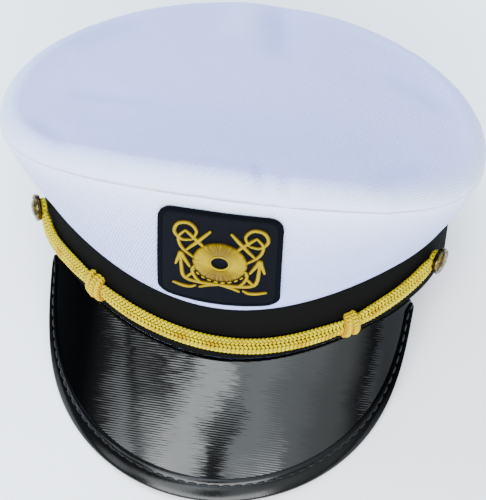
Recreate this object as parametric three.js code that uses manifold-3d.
// Captain's cap: white crown, black band, glossy visor, plaited braid with two buttons, badge patch.
// Millimetres. The cap is laid out on its band plane (z = 0 at the band's lower edge, front to -Y)
// and the last step tips it back until it rests on the visor's rim and the back of the band.
import * as THREE from "three";
import { mergeVertices } from "three/addons/utils/BufferGeometryUtils.js";
import Module from "manifold-3d";

const degrees = Math.PI / 180;

// Cloth and clearances
const clothWall = 1.3;
const seatGap = 0.3;

// Head band
const bandWidth = 196;
const bandLength = 169;
const bandFrontTaper = 0.11;
const bandBack = 8;
const bandHeight = 32;
const bandTuck = 6;
const bandWall = 2;
const bandFrontDip = 8;
const bandDipSpan = 56 * degrees;

// Crown: its rim is the seam between the side wall and the top panel
const rimWidth = 225;
const rimLength = 196;
const rimBackTaper = 0.09;
const rimBack = 4.4;
const rimForward = 1.1;
const rimSideways = -2.2;
const rimFrontFlat = 5;
const rimHeight = 66.6;
const rimFrontRise = 25.4;
const rimBackDrop = 7.3;
const rollRadius = 9.7;
const topPuff = 5;
const wallBulge = 1.6;
const hemHeight = 3;
const hemSwell = 0.35;
const foldDepth = 2.4;

// How sharply the plan's front flattens and its back draws out, the rim falls behind, and the
// panel's waves die away inward from its edge
const frontEase = 3;
const backDrawEase = 1.5;
const rimDropEase = 1.3;
const panelEdgeEase = 8;
const panelWaveCount = 5;

// Visor
const visorReach = 43;
const visorHalfWidth = 85.8;
const visorSideLine = 32;
const visorFrontSlope = 47.1 * degrees;
const visorSideSlope = 77 * degrees;
const visorEnd = 66 * degrees;
const visorBulge = 2;
const visorThickness = 1.4;
const bindingWidth = 9;
const bindingThickness = 0.8;
const bindingShare = 0.7;

// Braid, knots and buttons
const braidWidth = 8.2;
const braidThickness = 4.4;
const buttonAngle = 74 * degrees;
const buttonHeight = 17.6;
const buttonRadius = 6.5;
const buttonStandOff = 3.6;
const buttonDome = 2.6;
const shankRadius = 1.4;
const knotAngle = 39.6 * degrees;
const knotLength = 11;
const knotWall = 2;

// Badge patch and its raised embroidery
const patchWidth = 54;
const patchHeight = 57;
const patchCentreRise = 0.487;
const patchCorner = 6;
const patchThickness = 1.5;
const patchEdge = 2.2;
const patchEdgeSwell = 0.3;
const threadHeight = 1;
const threadWidth = 1.9;

// Fineness of the round shapes
const aroundSteps = 64;
const visorSteps = 40;
const visorCrowding = 0.7;
const braidSteps = 60;
const braidSides = 8;
const knotSteps = 14;
const knotPoints = 9;
const buttonSides = 20;
const medallionSides = 24;
const strokeStep = 5.4;
const waveSamples = 180;

const band = {
  halfWidth: bandWidth / 2,
  halfLength: bandLength / 2,
  taper: bandFrontTaper,
  backEase: 1,
  flat: 0,
  back: bandBack,
};
const rim = {
  halfWidth: rimWidth / 2,
  halfLength: rimLength / 2,
  taper: -rimBackTaper,
  backEase: 0,
  flat: rimFrontFlat,
  back: rimBack,
};
const crownLip = seatGap + clothWall;

// Soft dents: where each lies round the cap, how far up, its half sizes and its share of foldDepth
const wallDents = [
  { angle: -41, rise: 0.50, spanAngle: 9, spanRise: 0.34, depth: 0.60 },
  { angle: 38, rise: 0.42, spanAngle: 10, spanRise: 0.30, depth: 0.50 },
  { angle: -84, rise: 0.45, spanAngle: 11, spanRise: 0.32, depth: 0.75 },
  { angle: 92, rise: 0.50, spanAngle: 12, spanRise: 0.34, depth: 0.80 },
  { angle: 148, rise: 0.46, spanAngle: 12, spanRise: 0.34, depth: 0.70 },
  { angle: -146, rise: 0.52, spanAngle: 12, spanRise: 0.34, depth: 0.70 },
];
const panelDents = [
  { angle: -62, rise: 0.30, spanAngle: 26, spanRise: 0.22, depth: 0.60 },
  { angle: 58, rise: 0.26, spanAngle: 24, spanRise: 0.20, depth: 0.70 },
  { angle: 128, rise: 0.34, spanAngle: 28, spanRise: 0.24, depth: 0.55 },
];

function dentAt(dents, angle, rise) {
  let depth = 0;
  for (const dent of dents) {
    const turn = Math.atan2(Math.sin(angle - dent.angle * degrees), Math.cos(angle - dent.angle * degrees));
    const across = turn / (dent.spanAngle * degrees);
    const along = (rise - dent.rise) / dent.spanRise;
    const reach = Math.min(1, Math.hypot(across, along));
    depth += dent.depth * foldDepth * (0.5 + 0.5 * Math.cos(Math.PI * reach));
  }
  return depth;
}

// Egg-shaped plan line, angle 0 at the front; only its back half is drawn out by back and eased
function planLine(plan, angle) {
  const sin = Math.sin(angle);
  const cos = Math.cos(angle);
  const front = Math.max(0, cos);
  const behind = Math.max(0, -cos);
  const x = plan.halfWidth * sin * (1 - plan.taper * cos * (1 - plan.backEase * behind));
  const y = -plan.halfLength * cos + plan.flat * front ** frontEase + plan.back * behind ** backDrawEase;
  return new THREE.Vector3(x, y, 0);
}

// The same line moved outward by offset
function planPoint(plan, angle, offset) {
  const step = 1e-4;
  const along = planLine(plan, angle + step).sub(planLine(plan, angle - step)).normalize();
  return planLine(plan, angle).add(new THREE.Vector3(along.y, -along.x, 0).multiplyScalar(offset));
}

function bandPoint(angle, offset, height) {
  const point = planPoint(band, angle, offset);
  const turn = Math.abs(Math.atan2(Math.sin(angle), Math.cos(angle)));
  point.z = height - bandFrontDip * Math.cos(Math.min(1, turn / bandDipSpan) * 90 * degrees) ** 2;
  return point;
}

// Height of the rim above its level at the sides: a peak in front and a fall behind
function rimRise(angle) {
  const front = Math.max(0, Math.cos(angle));
  const behind = Math.max(0, -Math.cos(angle));
  return rimFrontRise * front ** 2 - rimBackDrop * behind ** rimDropEase;
}

function rimPoint(angle, offset) {
  const point = planPoint(rim, angle, offset);
  point.x += rimSideways;
  point.y -= rimForward;
  point.z = rimHeight + rimRise(angle);
  return point;
}

// Crown side wall, rise 0 at its hem and 1 at the rim seam
function wallPoint(angle, rise, offset) {
  const swell = wallBulge * Math.sin(Math.PI * rise) - dentAt(wallDents, angle, rise);
  const low = bandPoint(angle, crownLip + offset + swell, bandHeight);
  const high = rimPoint(angle, offset + swell);
  return low.lerp(high, rise);
}

// Rolled edge of the top panel, turn 0 at the seam and a quarter turn where the panel lies flat
function rollPoint(angle, turn, offset) {
  const radius = rollRadius + offset;
  const point = rimPoint(angle, radius * Math.cos(turn) - rollRadius);
  point.z += radius * Math.sin(turn);
  return point;
}

// The rim's rise as a sum of waves, so that the stretched panel can flatten towards its middle
const waves = Array.from({ length: panelWaveCount }, (_, order) => {
  const samples = Array.from({ length: waveSamples }, (_, i) => i / waveSamples * 2 * Math.PI);
  const total = samples.reduce((sum, angle) => sum + rimRise(angle) * Math.cos(order * angle), 0);
  return { order, height: total / samples.length * (order > 0 ? 2 : 1) };
});

function panelRise(angle, outward) {
  let rise = rimRise(angle) * outward ** panelEdgeEase;
  for (const { order, height } of waves) {
    rise += height * Math.cos(order * angle) * (outward ** order - outward ** panelEdgeEase);
  }
  return rise;
}

// Top panel, inward 0 at the rolled edge and 1 at the middle
function panelPoint(angle, inward, offset) {
  const middle = rimPoint(0, 0).add(rimPoint(Math.PI, 0)).multiplyScalar(0.5);
  const point = rollPoint(angle, Math.PI / 2, offset).lerp(middle, inward);
  const stretched = rimHeight + rollRadius + offset + panelRise(angle, 1 - inward);
  point.z = stretched + topPuff * inward * (2 - inward) - dentAt(panelDents, angle, inward);
  return point;
}

// Visor: a fan of straight lines from the joint under the band to the free outline
function visorJoint(share) {
  const angle = share * visorEnd;
  return bandPoint(angle, -bandWall / 2, -(seatGap + visorThickness / 2));
}

function visorFree(share) {
  const turn = share * 90 * degrees;
  const tip = band.halfLength + visorReach;
  const x = visorHalfWidth * Math.sin(turn);
  const y = -visorSideLine - (tip - visorSideLine) * Math.cos(turn);
  const joint = visorJoint(share);
  const side = (x / Math.hypot(x, y)) ** 2;
  const slope = visorFrontSlope + (visorSideSlope - visorFrontSlope) * side;
  const spread = Math.hypot(x - joint.x, y - joint.y);
  return new THREE.Vector3(x, y, joint.z - spread * Math.tan(slope));
}

function visorLine(share) {
  const joint = visorJoint(share);
  const free = visorFree(share);
  return { joint, free, length: joint.distanceTo(free) };
}

function visorMiddle(share, across) {
  const line = visorLine(share);
  const point = line.joint.clone().lerp(line.free, across);
  point.z += visorBulge * Math.sin(Math.PI * Math.min(1, across)) * (1 - share ** 2);
  return point;
}

// A point standing off the visor's middle surface by height, upward positive
function visorPoint(share, across, height) {
  const step = 0.004;
  const low = Math.max(-1, share - step);
  const high = Math.min(1, share + step);
  const alongEdge = visorMiddle(high, across).sub(visorMiddle(low, across));
  const alongLine = visorMiddle(share, across + step).sub(visorMiddle(share, across - step));
  const normal = alongLine.cross(alongEdge).normalize();
  return visorMiddle(share, across).addScaledVector(normal, height);
}

// Joins rings of points into one closed body; a ring of one point is a pole
function lofted(rings, closed = false) {
  const positions = [];
  const starts = [];
  for (const ring of rings) {
    starts.push(positions.length / 3);
    for (const point of ring) {
      positions.push(point.x, point.y, point.z);
    }
  }
  const faces = [];
  const last = closed ? rings.length : rings.length - 1;
  for (let i = 0; i < last; i += 1) {
    const next = (i + 1) % rings.length;
    const count = Math.max(rings[i].length, rings[next].length);
    for (let j = 0; j < count; j += 1) {
      const k = (j + 1) % count;
      const a = starts[i] + (rings[i].length > 1 ? j : 0);
      const b = starts[i] + (rings[i].length > 1 ? k : 0);
      const c = starts[next] + (rings[next].length > 1 ? k : 0);
      const d = starts[next] + (rings[next].length > 1 ? j : 0);
      if (a !== b) faces.push([a, b, c]);
      if (c !== d) faces.push([a, c, d]);
    }
  }
  return facingOut(positions, faces);
}

function facingOut(positions, faces) {
  const corner = (index) => new THREE.Vector3().fromArray(positions, 3 * index);
  let volume = 0;
  for (const [a, b, c] of faces) {
    volume += corner(a).dot(corner(b).cross(corner(c)));
  }
  const order = volume > 0 ? faces : faces.map(([a, b, c]) => [a, c, b]);
  const geometry = new THREE.BufferGeometry();
  geometry.setAttribute("position", new THREE.Float32BufferAttribute(positions, 3));
  geometry.setIndex(order.flat());
  return geometry;
}

function middleOf(ring) {
  const sum = ring.reduce((total, point) => total.add(point), new THREE.Vector3());
  return sum.multiplyScalar(1 / ring.length);
}

// A run of sections closed at both ends
function capped(sections) {
  return lofted([[middleOf(sections[0])], ...sections, [middleOf(sections.at(-1))]]);
}

// A run of sections that bend round something, each end closed by the flat outline's own triangles
function cappedFlat(sections, outline) {
  const flat = outline.map(([x, y]) => new THREE.Vector2(x, y));
  const wound = THREE.ShapeUtils.isClockWise(flat);
  const triangles = THREE.ShapeUtils.triangulateShape(flat, []).map(([a, b, c]) => (
    THREE.ShapeUtils.isClockWise([flat[a], flat[b], flat[c]]) === wound ? [a, b, c] : [a, c, b]
  ));
  const count = outline.length;
  const end = count * (sections.length - 1);
  const faces = [];
  for (let i = 0; i < end; i += 1) {
    const next = i % count === count - 1 ? i + 1 - count : i + 1;
    faces.push([i, next, next + count], [i, next + count, i + count]);
  }
  for (const [a, b, c] of triangles) {
    faces.push([a, c, b], [a + end, b + end, c + end]);
  }
  return facingOut(sections.flat().flatMap((point) => point.toArray()), faces);
}

function around(makePoint, steps = aroundSteps) {
  return Array.from({ length: steps }, (_, i) => makePoint(i / steps * 2 * Math.PI));
}

const manifoldLibrary = await Module();
manifoldLibrary.setup();

function toManifold(geometry) {
  const bare = geometry.clone();
  bare.deleteAttribute("normal");
  bare.deleteAttribute("uv");
  const merged = mergeVertices(bare, 1e-4);
  const mesh = new manifoldLibrary.Mesh({
    numProp: 3,
    vertProperties: new Float32Array(merged.attributes.position.array),
    triVerts: new Uint32Array(merged.index.array),
  });
  return new manifoldLibrary.Manifold(mesh);
}

function joined(geometries) {
  const whole = geometries.map(toManifold).reduce((sum, piece) => sum.add(piece));
  const mesh = whole.getMesh();
  const geometry = new THREE.BufferGeometry();
  geometry.setAttribute("position", new THREE.BufferAttribute(mesh.vertProperties, 3));
  geometry.setIndex(new THREE.BufferAttribute(mesh.triVerts, 1));
  return geometry;
}

// Crown side: a cloth wall with a folded hem, high in front and lower behind
function makeCrownSide() {
  const hemRise = hemHeight / (rimHeight - bandHeight);
  const hemStep = 1.25;
  const outer = [
    { rise: 0, swell: hemSwell },
    { rise: hemRise, swell: hemSwell },
    { rise: hemRise * hemStep, swell: 0 },
    { rise: 0.27, swell: 0 },
    { rise: 0.5, swell: 0 },
    { rise: 0.74, swell: 0 },
    { rise: 1, swell: 0 },
  ];
  const inner = [1, 0.74, 0.5, 0.27, 0].map((rise) => ({ rise, swell: -clothWall }));
  const rings = [...outer, ...inner].map(({ rise, swell }) => around((angle) => {
    const point = wallPoint(angle, rise, swell);
    point.z -= seatGap * rise;
    return point;
  }));
  return lofted(rings, true);
}

// Crown top: a puffed panel whose edge rolls down to the seam
function makeCrownTop() {
  const outerTurns = [0, 24, 46, 68, 90];
  const innerTurns = [90, 46, 0];
  const outerShares = [0.12, 0.3, 0.5, 0.74];
  const innerShares = [0.74, 0.5, 0.25];
  const rollRing = (turn, offset) => around((angle) => rollPoint(angle, turn * degrees, offset));
  const panelRing = (inward, offset) => around((angle) => panelPoint(angle, inward, offset));
  return lofted([
    [panelPoint(0, 1, -clothWall)],
    ...innerShares.map((inward) => panelRing(inward, -clothWall)),
    ...innerTurns.map((turn) => rollRing(turn, -clothWall)),
    ...outerTurns.map((turn) => rollRing(turn, 0)),
    ...outerShares.map((inward) => panelRing(inward, 0)),
    [panelPoint(0, 1, 0)],
  ]);
}

// Band: a plain cloth wall that goes on a little way up inside the crown
function makeBand() {
  const top = bandHeight + bandTuck;
  const corners = [[0, 0], [0, top], [-bandWall, top], [-bandWall, 0]];
  const rings = corners.map(([offset, height]) => around((angle) => bandPoint(angle, offset, height)));
  return lofted(rings, true);
}

// Places along the visor from -1 to 1, closer together towards its ends
const visorShares = Array.from({ length: visorSteps + 1 }, (_, i) => {
  const even = 2 * i / visorSteps - 1;
  return even + (Math.sin(even * 90 * degrees) - even) * visorCrowding;
});

function makeVisor() {
  const half = visorThickness / 2;
  const across = [0, 0.2, 0.4, 0.6, 0.8, 1];
  const outline = [
    ...across.map((place) => [place, half]),
    ...across.toReversed().map((place) => [place, -half]),
  ];
  const sections = visorShares.map((share) => (
    outline.map(([place, height]) => visorPoint(share, place, height))
  ));
  return cappedFlat(sections, outline);
}

// Binding: a strip folded over the visor's free edge, its section inward from the edge and up
function makeVisorBinding() {
  const inside = visorThickness / 2 + seatGap;
  const outside = inside + bindingThickness;
  const nose = seatGap + bindingThickness;
  const round = bindingThickness / 3;
  const noseCorner = { inward: -nose * 0.75, height: outside * 0.6 };
  const upper = [
    [bindingWidth, inside],
    [bindingWidth, outside - round],
    [bindingWidth - bindingThickness, outside],
    [0, outside],
    [noseCorner.inward, noseCorner.height],
  ];
  const section = [
    ...upper,
    [-nose, 0],
    ...upper.toReversed().map(([inward, height]) => [inward, -height]),
    [bindingWidth / 2, -inside],
    [-seatGap, -inside],
    [-seatGap, inside],
    [bindingWidth / 2, inside],
  ];
  const sections = visorShares.map((share) => {
    const { length } = visorLine(share);
    const squeeze = Math.min(1, bindingShare * length / bindingWidth);
    return section.map(([inward, height]) => {
      const place = 1 - (inward > 0 ? inward * squeeze : inward) / length;
      return visorPoint(share, place, height);
    });
  });
  return cappedFlat(sections, section);
}

// Braid route on the band: angle round the cap and height as a share of bandHeight
const braidRoute = [
  { angle: -74, height: 0.55 },
  { angle: -68.5, height: 0.41 },
  { angle: -63, height: 0.345 },
  { angle: -52, height: 0.37 },
  { angle: -40, height: 0.375 },
  { angle: -28, height: 0.36 },
  { angle: -14, height: 0.365 },
  { angle: 0, height: 0.345 },
  { angle: 14, height: 0.31 },
  { angle: 28, height: 0.30 },
  { angle: 40, height: 0.30 },
  { angle: 52, height: 0.37 },
  { angle: 61, height: 0.44 },
  { angle: 68.5, height: 0.505 },
  { angle: 74, height: 0.55 },
];
const braidStandOff = seatGap + braidThickness / 2;
const loopTube = braidThickness * 0.3;
const loopRadius = shankRadius + seatGap + loopTube;

function routeAt(share) {
  const last = braidRoute.length - 1;
  const place = share * last;
  const first = Math.min(last - 1, Math.floor(place));
  const blend = place - first;
  const row = (i) => braidRoute[Math.min(last, Math.max(0, i))];
  const smooth = (column) => {
    const [a, b, c, d] = [first - 1, first, first + 1, first + 2].map((i) => row(i)[column]);
    const bend = 2 * a - 5 * b + 4 * c - d;
    return b + blend * (c - a + blend * (bend + blend * (3 * b - a - 3 * c + d))) / 2;
  };
  return { angle: smooth("angle") * degrees, height: smooth("height") * bandHeight };
}

function braidCentre(share, standOff) {
  const { angle, height } = routeAt(share);
  return bandPoint(angle, standOff, height);
}

// Frame on the braid: along its run, out from the band, and across its width
function braidFrame(share) {
  const step = 0.003;
  const origin = braidCentre(share, braidStandOff);
  const before = braidCentre(Math.max(0, share - step), braidStandOff);
  const along = braidCentre(Math.min(1, share + step), braidStandOff).sub(before).normalize();
  const out = origin.clone().sub(braidCentre(share, 0)).normalize();
  const across = out.clone().cross(along).normalize();
  return { origin, along, across, out: along.clone().cross(across) };
}

function inFrame(frame, sideways, outward) {
  return frame.origin.clone().addScaledVector(frame.across, sideways).addScaledVector(frame.out, outward);
}

function ovalSection(frame, halfWidth, halfThickness, sides) {
  return around((turn) => inFrame(frame, halfWidth * Math.cos(turn), halfThickness * Math.sin(turn)), sides);
}

function buttonFrame(side) {
  const angle = side * buttonAngle;
  const seat = bandPoint(angle, 0, buttonHeight);
  const out = bandPoint(angle, 1, buttonHeight).sub(seat).normalize();
  return { seat, out };
}

// The braid's end is a loop round the button's shank
function makeBraidLoop(side) {
  const { seat, out } = buttonFrame(side);
  const tubeSides = 6;
  const loopSteps = 14;
  const ring = new THREE.TorusGeometry(loopRadius, loopTube, tubeSides, loopSteps);
  ring.applyQuaternion(new THREE.Quaternion().setFromUnitVectors(new THREE.Vector3(0, 0, 1), out));
  const centre = seat.clone().addScaledVector(out, braidStandOff);
  return ring.translate(centre.x, centre.y, centre.z);
}

// The share of the route at which the cord meets its end's loop, found from a point near that end
function shareAtLoop(end) {
  const near = 0.02;
  const inner = Math.abs(end - near);
  const reach = braidCentre(inner, braidStandOff).distanceTo(braidCentre(end, braidStandOff));
  return Math.abs(end - near * loopRadius / reach);
}

// Braid: a flat cord that narrows towards the loops at its ends
function makeBraid() {
  const narrowing = { share: 0.07, fullness: 0.5 };
  const first = shareAtLoop(0);
  const last = shareAtLoop(1);
  const sections = Array.from({ length: braidSteps + 1 }, (_, i) => {
    const share = first + i / braidSteps * (last - first);
    const fromEnd = Math.min(1, Math.min(share - first, last - share) / narrowing.share);
    const fullness = narrowing.fullness + (1 - narrowing.fullness) * Math.sin(fromEnd * Math.PI / 2);
    const halfWidth = fullness * braidWidth / 2;
    const halfThickness = fullness * braidThickness / 2;
    return ovalSection(braidFrame(share), halfWidth, halfThickness, braidSides);
  });
  return joined([capped(sections), makeBraidLoop(-1), makeBraidLoop(1)]);
}

// Number of times that a search halves its range
const halvings = 50;

// Where the route reaches an angle
function shareAtAngle(angle) {
  let low = 0;
  let high = 1;
  for (let i = 0; i < halvings; i += 1) {
    const middle = (low + high) / 2;
    if (routeAt(middle).angle < angle) low = middle;
    else high = middle;
  }
  return (low + high) / 2;
}

// Slide knot: the cord wound slantwise over itself, a saddle that is open towards the band
function makeKnot(side) {
  const wraps = 3;
  const lap = 0.2;
  const slantPerTurn = 1 / 14;
  const wrapRelief = 0.22;
  const barrelEnd = 0.55;
  const barrelEase = 0.6;
  const near = 0.01;
  const centre = shareAtAngle(side * knotAngle);
  const perShare = braidCentre(centre + near, 0).distanceTo(braidCentre(centre - near, 0)) / (2 * near);
  const arc = Array.from({ length: knotPoints }, (_, j) => j / (knotPoints - 1) * (Math.PI + 2 * lap) - lap);
  const at = (turn, grow) => [
    (braidWidth / 2 + grow) * Math.cos(turn),
    Math.max(-braidThickness / 2, (braidThickness / 2 + grow) * Math.sin(turn)),
  ];
  const outlineAt = (along) => {
    const barrel = barrelEnd + (1 - barrelEnd) * Math.cos(along * Math.PI) ** barrelEase;
    const outer = arc.map((turn) => {
      const slant = Math.cos(2 * Math.PI * wraps * (along + side * turn * slantPerTurn));
      return at(turn, seatGap + knotWall * (barrel + wrapRelief * slant));
    });
    return [...outer, ...arc.toReversed().map((turn) => at(turn, seatGap))];
  };
  const sections = Array.from({ length: knotSteps + 1 }, (_, i) => {
    const along = i / knotSteps - 0.5;
    const frame = braidFrame(centre + along * knotLength / perShare);
    return outlineAt(along).map(([sideways, outward]) => inFrame(frame, sideways, outward));
  });
  return cappedFlat(sections, outlineAt(0));
}

// Button: raised rim, shallow dome and a shank that passes through the braid's loop
function makeButton(side) {
  const { seat, out } = buttonFrame(side);
  const back = buttonStandOff + seatGap + loopTube;
  const rimRise = buttonDome * 0.6;
  const rimRound = buttonRadius * 0.1;
  const profile = [
    [0, seatGap],
    [shankRadius, seatGap],
    [shankRadius, back],
    [buttonRadius - rimRound, back],
    [buttonRadius, back + rimRound],
    [buttonRadius, back + rimRise - rimRound / 2],
    [buttonRadius - rimRound, back + rimRise],
    [buttonRadius - 2 * rimRound, back + rimRise - rimRound / 2],
    [buttonRadius * 0.68, back + buttonDome * 0.6],
    [buttonRadius * 0.36, back + buttonDome * 0.9],
    [0, back + buttonDome],
  ];
  const rings = profile.map(([radius, height]) => {
    const level = new THREE.Vector3(0, height, 0);
    if (radius === 0) return [level];
    const spoke = (turn) => new THREE.Vector3(radius * Math.cos(turn), 0, radius * Math.sin(turn));
    return around((turn) => spoke(turn).add(level), buttonSides);
  });
  const geometry = lofted(rings);
  geometry.applyQuaternion(new THREE.Quaternion().setFromUnitVectors(new THREE.Vector3(0, 1, 0), out));
  return geometry.translate(seat.x, seat.y, seat.z);
}

// Patch surface: sideways and upward distances on the front wall, height off the cloth. The angle
// that lies a sideways distance from the middle is found by stepping along the wall's slope.
const slopeSteps = 6;

function patchPoint(sideways, upward, height) {
  const frontLength = wallPoint(0, 1, 0).distanceTo(wallPoint(0, 0, 0));
  const rise = patchCentreRise + upward / frontLength;
  const step = 0.01;
  let angle = 0;
  for (let i = 0; i < slopeSteps; i += 1) {
    const slope = (wallPoint(angle + step, rise, 0).x - wallPoint(angle - step, rise, 0).x) / (2 * step);
    angle += (sideways - wallPoint(angle, rise, 0).x) / slope;
  }
  const point = wallPoint(angle, rise, 0);
  const alongWall = wallPoint(angle, rise + step, 0).sub(wallPoint(angle, rise - step, 0));
  const alongRound = wallPoint(angle + step, rise, 0).sub(wallPoint(angle - step, rise, 0));
  return point.addScaledVector(alongRound.cross(alongWall).normalize(), height);
}

// Rounded rectangle, sizes taken in from the patch's outline by inset
function patchOutline(inset) {
  const sharpest = 0.5;
  const cornerSteps = 4;
  const corner = Math.max(sharpest, patchCorner - inset);
  const halfWidth = patchWidth / 2 - inset - corner;
  const halfHeight = patchHeight / 2 - inset - corner;
  const points = [];
  for (const quarter of [0, 1, 2, 3]) {
    const signX = quarter === 0 || quarter === 3 ? 1 : -1;
    const signY = quarter < 2 ? 1 : -1;
    for (let i = 0; i <= cornerSteps; i += 1) {
      const turn = (quarter + i / cornerSteps) * 90 * degrees;
      const x = signX * halfWidth + corner * Math.cos(turn);
      const y = signY * halfHeight + corner * Math.sin(turn);
      points.push([x, y]);
    }
    const alongEdge = quarter % 2 === 0 ? [0.7, 0.35, 0, -0.35, -0.7] : [0.4, -0.4];
    for (const share of alongEdge) {
      if (quarter % 2 === 0) points.push([share * halfWidth * signX, signY * (halfHeight + corner)]);
      else points.push([signX * (halfWidth + corner), share * halfHeight * signY]);
    }
  }
  return points;
}

// Heights off the wall's cloth: the patch lies over the hem, and the embroidery lies on the patch
const patchBase = hemSwell + seatGap;
const patchTop = patchBase + patchThickness;
const threadBase = patchTop + seatGap;

function makePatch() {
  const ring = (inset, height) => patchOutline(inset).map(([x, y]) => patchPoint(x, y, height));
  const shrunk = (share, height) => (
    patchOutline(patchEdge).map(([x, y]) => patchPoint(x * share, y * share, height))
  );
  const shares = [0.28, 0.55, 0.8];
  const edgeTop = patchTop + patchEdgeSwell;
  return lofted([
    [patchPoint(0, 0, patchBase)],
    ...shares.map((share) => shrunk(share, patchBase)),
    ring(0, patchBase),
    ring(0, patchTop - patchEdgeSwell),
    ring(patchEdge * 0.25, edgeTop),
    ring(patchEdge * 0.8, edgeTop),
    ring(patchEdge, patchTop),
    ...shares.toReversed().map((share) => shrunk(share, patchTop)),
    [patchPoint(0, 0, patchTop)],
  ]);
}

// Embroidery: every stroke is a line on the patch, in shares of the patch's half sizes
const medallion = { x: 0, y: -0.06, radius: 0.45, hole: 0.13 };
const anchorStrokes = [
  { name: "ring", wide: 1, points: circlePoints(-0.585, 0.565, 0.17, 0.18) },
  { name: "shank", wide: 1.1, points: [[-0.51, 0.45], [-0.40, 0.37], [-0.22, 0.22]] },
  { name: "stock", wide: 1, points: [[-0.575, 0.165], [-0.37, 0.37], [-0.17, 0.595]] },
  { name: "rope", wide: 0.8, points: [[-0.69, 0.47], [-0.68, 0.31], [-0.60, 0.15], [-0.42, 0.01]] },
  { name: "arm", wide: 1, points: [[-0.65, 0.08], [-0.67, -0.22], [-0.65, -0.48], [-0.34, -0.62], [0.04, -0.6]] },
  { name: "barb", wide: 1, points: [[-0.77, -0.25], [-0.7, -0.08], [-0.65, 0.1], [-0.6, -0.08], [-0.55, -0.24]] },
  { name: "branch", wide: 0.8, points: [[-0.36, -0.12], [-0.48, -0.24], [-0.49, -0.42], [-0.52, -0.60]] },
  { name: "spray", wide: 0.9, points: [[-0.82, -0.69], [-0.60, -0.75], [-0.42, -0.74], [-0.34, -0.64]] },
  { name: "leaf", wide: 0.9, points: [[-0.36, -0.71], [-0.20, -0.67], [0.04, -0.59]] },
];

function circlePoints(x, y, radiusX, radiusY) {
  const turns = [-50, 10, 70, 130, 190, 250, 302];
  return turns.map((turn) => [
    x + radiusX * Math.cos(turn * degrees),
    y + radiusY * Math.sin(turn * degrees),
  ]);
}

// A raised thread of satin stitches along a line, narrow on top and tapered at both ends
function makeStroke(points, mirror, wide) {
  const curve = new THREE.CatmullRomCurve3(points.map(([x, y]) => new THREE.Vector3(
    mirror * x * patchWidth / 2,
    y * patchHeight / 2,
    0,
  )));
  const fewest = 4;
  const endFullness = 0.6;
  const crest = 0.6;
  const steps = Math.max(fewest, Math.round(curve.getLength() / strokeStep));
  const sections = Array.from({ length: steps + 1 }, (_, i) => {
    const place = curve.getPointAt(i / steps);
    const along = curve.getTangentAt(i / steps);
    const fullness = endFullness + (1 - endFullness) * Math.sin(Math.PI * i / steps);
    const half = wide * threadWidth * fullness / 2;
    const corner = (sideways, height) => patchPoint(
      place.x - along.y * sideways,
      place.y + along.x * sideways,
      threadBase + height,
    );
    const ridge = threadHeight * fullness;
    return [corner(-half, 0), corner(-half * crest, ridge), corner(half * crest, ridge), corner(half, 0)];
  });
  return capped(sections);
}

// Medallion: a ring of thread, padded between its outer edge and the hole
function makeMedallion() {
  const pad = threadHeight * 1.3;
  const profile = [
    [medallion.hole, 0],
    [medallion.radius, 0],
    [medallion.radius, pad * 0.4],
    [medallion.radius * 0.8, pad],
    [medallion.hole * 1.5, pad],
    [medallion.hole, pad * 0.5],
  ];
  return lofted(profile.map(([radius, height]) => around((turn) => patchPoint(
    (medallion.x + radius * Math.cos(turn)) * patchWidth / 2,
    medallion.y * patchHeight / 2 + radius * Math.sin(turn) * patchWidth / 2,
    threadBase + height,
  ), medallionSides)), true);
}

function makeEmblem() {
  const strokes = [1, -1].flatMap((mirror) => (
    anchorStrokes.map(({ points, wide }) => makeStroke(points, mirror, wide))
  ));
  return joined([makeMedallion(), ...strokes]);
}

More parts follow.
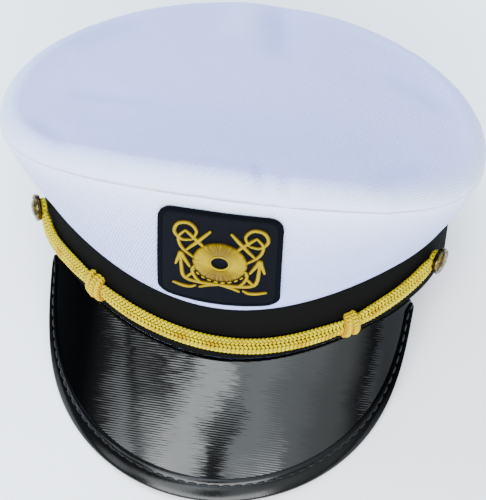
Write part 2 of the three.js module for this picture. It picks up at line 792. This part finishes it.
const finishes = {
  whiteCloth: { color: 0xe2e4f2, roughness: 0.85, metalness: 0 },
  blackCloth: { color: 0x232321, roughness: 0.9, metalness: 0 },
  glossVinyl: { color: 0x0c0d10, roughness: 0.16, metalness: 0 },
  yellowCord: { color: 0xf2cf3c, roughness: 0.6, metalness: 0 },
  brass: { color: 0xb8903c, roughness: 0.3, metalness: 1 },
  navyTwill: { color: 0x1c202c, roughness: 0.8, metalness: 0 },
  goldThread: { color: 0xe8c83c, roughness: 0.45, metalness: 0 },
};

const pieces = [
  { name: "crown_side", finish: "whiteCloth", geometry: makeCrownSide() },
  { name: "crown_top", finish: "whiteCloth", geometry: makeCrownTop() },
  { name: "band", finish: "blackCloth", geometry: makeBand() },
  { name: "visor", finish: "glossVinyl", geometry: makeVisor() },
  { name: "visor_binding", finish: "glossVinyl", geometry: makeVisorBinding() },
  { name: "braid", finish: "yellowCord", geometry: makeBraid() },
  { name: "knot_left", finish: "yellowCord", geometry: makeKnot(-1) },
  { name: "knot_right", finish: "yellowCord", geometry: makeKnot(1) },
  { name: "button_left", finish: "brass", geometry: makeButton(-1) },
  { name: "button_right", finish: "brass", geometry: makeButton(1) },
  { name: "patch", finish: "navyTwill", geometry: makePatch() },
  { name: "emblem", finish: "goldThread", geometry: makeEmblem() },
];

// Lowest point of a piece once the cap is tipped back by an angle
function lowest(geometry, tilt) {
  const position = geometry.attributes.position;
  let low = Infinity;
  for (let i = 0; i < position.count; i += 1) {
    low = Math.min(low, position.getZ(i) * Math.cos(tilt) - position.getY(i) * Math.sin(tilt));
  }
  return low;
}

// The cap tips back until the visor's binding and the band touch the same surface
function restTilt() {
  const steepest = 40 * degrees;
  const byName = (name) => pieces.find((piece) => piece.name === name).geometry;
  let low = 0;
  let high = steepest;
  for (let i = 0; i < halvings; i += 1) {
    const middle = (low + high) / 2;
    if (lowest(byName("visor_binding"), middle) < lowest(byName("band"), middle)) low = middle;
    else high = middle;
  }
  return (low + high) / 2;
}

const group = new THREE.Group();
for (const { name, finish, geometry } of pieces) {
  const mesh = new THREE.Mesh(geometry, new THREE.MeshStandardMaterial(finishes[finish]));
  mesh.name = name;
  group.add(mesh);
}
group.rotation.x = -restTilt();
group.updateMatrixWorld(true);
const box = new THREE.Box3().setFromObject(group, true);
group.position.set(-(box.min.x + box.max.x) / 2, -(box.min.y + box.max.y) / 2, -box.min.z);

export default group;
